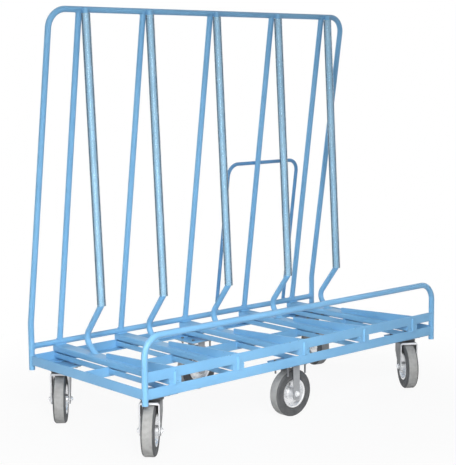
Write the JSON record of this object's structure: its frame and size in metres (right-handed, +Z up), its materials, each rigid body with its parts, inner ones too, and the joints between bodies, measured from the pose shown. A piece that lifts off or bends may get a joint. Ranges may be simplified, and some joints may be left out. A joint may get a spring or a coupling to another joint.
{
  "type": "drywall cart",
  "caption": "Panel cart: low welded deck on swivel casters and fixed middle wheels, with a leaning tube back, sleeved kinked legs and a front hoop, for moving boards upright.",
  "frame": {"origin": "on the floor, at the middle of the cart's length and depth", "axes": "+X along the length, to the right seen from the loading side; +Y towards the leaning back; +Z up"},
  "size_m": [1.702, 0.8576, 1.705],
  "materials": {
    "blue_paint": "light blue enamel on steel, slightly glossy",
    "grab_paint": "darker blue enamel on a thin steel tube",
    "clear_sleeve": "clear flexible plastic tube, slightly milky",
    "plug_plastic": "blue-grey plastic plug",
    "zinc": "bright zinc-plated pressed sheet",
    "rim_steel": "zinc-plated pressed steel rim",
    "bolt_steel": "bright zinc-plated steel fasteners",
    "race_steel": "greased hardened steel",
    "bush_brass": "plain bearing bush",
    "tyre_rubber": "solid grey-black rubber, dusty tread"
  },
  "bodies": {
    "cart": {"front_sill": "blue_paint", "rear_sill": "blue_paint", "left_sill": "blue_paint", "right_sill": "blue_paint", "centre_beam": "blue_paint", "cross_members": "blue_paint", "deck_slat_1": "blue_paint", "deck_slat_2": "blue_paint", "deck_slat_3": "blue_paint", "deck_slat_4": "blue_paint", "deck_slat_5": "blue_paint", "tapered_bearers": "blue_paint", "front_lip": "blue_paint", "rear_rail": "blue_paint", "back_arch": "blue_paint", "rear_legs": "blue_paint", "front_leg_1": "blue_paint", "front_leg_2": "blue_paint", "front_leg_3": "blue_paint", "front_leg_4": "blue_paint", "front_leg_5": "blue_paint", "leg_sleeves": "clear_sleeve", "front_hoop": "blue_paint", "rear_grab_hoop": "grab_paint", "tube_plugs": "plug_plastic", "mounting_plates": "blue_paint", "caster_top_plates": "zinc", "caster_bolts": "bolt_steel", "kingpins": "bolt_steel", "swivel_races": "race_steel", "fixed_forks": "zinc", "fixed_axles": "bolt_steel"},
    "caster_front_left": {"swivel_fork_front_left": "zinc", "axle_front_left": "bolt_steel"},
    "wheel_front_left": {"bush_front_left": "bush_brass", "rim_front_left": "rim_steel", "tyre_front_left": "tyre_rubber"},
    "caster_front_right": {"swivel_fork_front_right": "zinc", "axle_front_right": "bolt_steel"},
    "wheel_front_right": {"bush_front_right": "bush_brass", "rim_front_right": "rim_steel", "tyre_front_right": "tyre_rubber"},
    "caster_rear_left": {"swivel_fork_rear_left": "zinc", "axle_rear_left": "bolt_steel"},
    "wheel_rear_left": {"bush_rear_left": "bush_brass", "rim_rear_left": "rim_steel", "tyre_rear_left": "tyre_rubber"},
    "caster_rear_right": {"swivel_fork_rear_right": "zinc", "axle_rear_right": "bolt_steel"},
    "wheel_rear_right": {"bush_rear_right": "bush_brass", "rim_rear_right": "rim_steel", "tyre_rear_right": "tyre_rubber"},
    "wheel_mid_front": {"bush_mid_front": "bush_brass", "rim_mid_front": "rim_steel", "tyre_mid_front": "tyre_rubber"},
    "wheel_mid_rear": {"bush_mid_rear": "bush_brass", "rim_mid_rear": "rim_steel", "tyre_mid_rear": "tyre_rubber"}
  },
  "joints": [
    {"name": "swivel_front_left", "type": "hinge", "parent": "cart", "child": "caster_front_left", "pos_m": [-0.738, -0.3065, 0.22], "axis": [0, 0, 1], "continuous": true},
    {"name": "roll_front_left", "type": "hinge", "parent": "caster_front_left", "child": "wheel_front_left", "pos_m": [-0.77397, -0.34123, 0.1], "axis": [0.6947, -0.7193, 0], "continuous": true},
    {"name": "swivel_front_right", "type": "hinge", "parent": "cart", "child": "caster_front_right", "pos_m": [0.738, -0.3065, 0.22], "axis": [0, 0, 1], "continuous": true},
    {"name": "roll_front_right", "type": "hinge", "parent": "caster_front_right", "child": "wheel_front_right", "pos_m": [0.71004, -0.34795, 0.1], "axis": [0.829, -0.5592, 0], "continuous": true},
    {"name": "swivel_rear_left", "type": "hinge", "parent": "cart", "child": "caster_rear_left", "pos_m": [-0.738, 0.3065, 0.22], "axis": [0, 0, 1], "continuous": true},
    {"name": "roll_rear_left", "type": "hinge", "parent": "caster_rear_left", "child": "wheel_rear_left", "pos_m": [-0.76947, 0.26764, 0.1], "axis": [0.7771, -0.6293, 0], "continuous": true},
    {"name": "swivel_rear_right", "type": "hinge", "parent": "cart", "child": "caster_rear_right", "pos_m": [0.738, 0.3065, 0.22], "axis": [0, 0, 1], "continuous": true},
    {"name": "roll_rear_right", "type": "hinge", "parent": "caster_rear_right", "child": "wheel_rear_right", "pos_m": [0.72506, 0.2582, 0.1], "axis": [0.9659, -0.2588, 0], "continuous": true},
    {"name": "roll_mid_front", "type": "hinge", "parent": "cart", "child": "wheel_mid_front", "pos_m": [0, -0.3065, 0.1], "axis": [0, 1, 0], "continuous": true},
    {"name": "roll_mid_rear", "type": "hinge", "parent": "cart", "child": "wheel_mid_rear", "pos_m": [0, 0.3065, 0.1], "axis": [0, 1, 0], "continuous": true}
  ]
}
